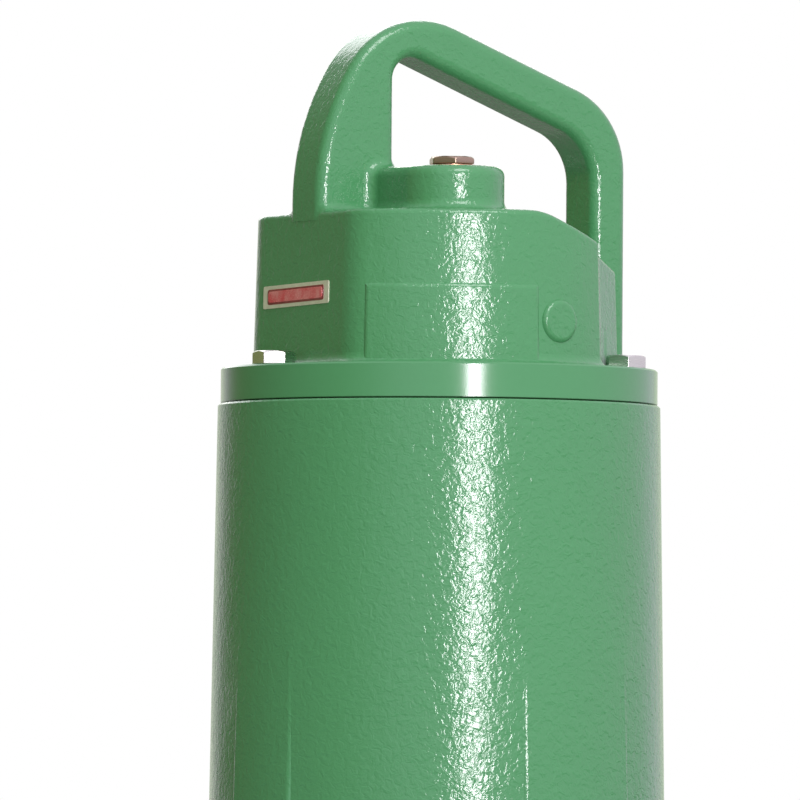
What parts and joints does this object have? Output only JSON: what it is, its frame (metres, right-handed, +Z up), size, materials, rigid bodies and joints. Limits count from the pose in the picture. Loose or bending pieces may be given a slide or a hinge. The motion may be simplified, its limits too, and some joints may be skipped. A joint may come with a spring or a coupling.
{
  "type": "submersible pump",
  "caption": "Submersible sewage pump with a smooth motor barrel, a cast terminal head with an integral lifting handle, a spiral casing with a flanged side discharge, and a four-legged stand.",
  "frame": {"origin": "centre of the suction mouth's lower face, on the motor axis", "axes": "+Z up the motor axis towards the lifting handle, -X out of the discharge flange, +Y towards the cable gland"},
  "size_m": [0.366, 0.373, 0.7206],
  "materials": {
    "green_paint": "glossy enamel on rough cast iron",
    "stainless": "turned stainless steel",
    "plug_steel": "zinc plated steel, a little dull",
    "copper_ring": "soft copper",
    "seal_rubber": "matt black nitrile",
    "bronze": "turned bronze",
    "bare_iron": "unpainted casting",
    "shaft_steel": "ground steel",
    "laminations": "stacked sheet steel",
    "winding": "varnished copper winding",
    "end_ring_alloy": "die cast aluminium",
    "seal_face": "lapped silicon carbide",
    "board_plastic": "moulded phenolic"
  },
  "bodies": {
    "housing": {"motor_cover": "green_paint", "cover_screws": "stainless", "cover_seal_ring": "seal_rubber", "inspection_plug": "plug_steel", "plug_washer": "copper_ring", "gland_nut": "plug_steel", "gland_bush": "seal_rubber", "inner_gland_washer": "plug_steel", "outer_gland_washer": "plug_steel", "terminal_board": "board_plastic", "terminal_studs": "bronze", "terminal_nuts": "bronze", "upper_bearing_carrier": "bare_iron", "preload_washer": "shaft_steel", "upper_bearing_outer": "shaft_steel", "motor_housing": "green_paint", "stator_core": "laminations", "lower_winding": "winding", "upper_winding": "winding", "bearing_bracket": "bare_iron", "bracket_screws": "stainless", "lower_bearing_outer": "shaft_steel", "upper_seal_seat": "seal_face", "seal_housing": "green_paint", "oil_plugs": "plug_steel", "oil_plug_washers": "copper_ring", "lower_seal_seat": "seal_face", "housing_screws": "stainless", "volute_seal_ring": "seal_rubber", "volute": "green_paint", "volute_screws": "stainless", "suction_cover": "green_paint", "suction_seal_ring": "seal_rubber", "suction_cover_screws": "stainless", "wear_ring": "bronze", "stand": "green_paint", "stand_screws": "stainless"},
    "rotor": {"shaft": "shaft_steel", "rotor_core": "laminations", "lower_end_ring": "end_ring_alloy", "upper_end_ring": "end_ring_alloy", "lower_bearing_inner": "shaft_steel", "upper_bearing_inner": "shaft_steel", "lower_circlip": "shaft_steel", "upper_circlip": "shaft_steel", "lower_seal_ring": "seal_face", "upper_seal_ring": "seal_face", "seal_spring": "shaft_steel", "impeller": "bare_iron", "impeller_key": "shaft_steel", "impeller_washer": "stainless", "impeller_screw": "stainless"},
    "lower_cage": {"lower_bearing_cage": "bronze", "lower_bearing_balls": "shaft_steel"},
    "upper_cage": {"upper_bearing_cage": "bronze", "upper_bearing_balls": "shaft_steel"}
  },
  "joints": [
    {"name": "shaft_spin", "type": "hinge", "parent": "housing", "child": "rotor", "pos_m": [0, 0, 0.3], "axis": [0, 0, 1], "continuous": true},
    {"name": "lower_cage_spin", "type": "hinge", "parent": "housing", "child": "lower_cage", "pos_m": [0, 0, 0.1895], "axis": [0, 0, 1], "continuous": true},
    {"name": "upper_cage_spin", "type": "hinge", "parent": "housing", "child": "upper_cage", "pos_m": [0, 0, 0.4355], "axis": [0, 0, 1], "continuous": true}
  ],
  "couplings": [
    {"joint": "lower_cage_spin", "follows": "shaft_spin", "ratio": 0.37941},
    {"joint": "upper_cage_spin", "follows": "shaft_spin", "ratio": 0.36782}
  ]
}
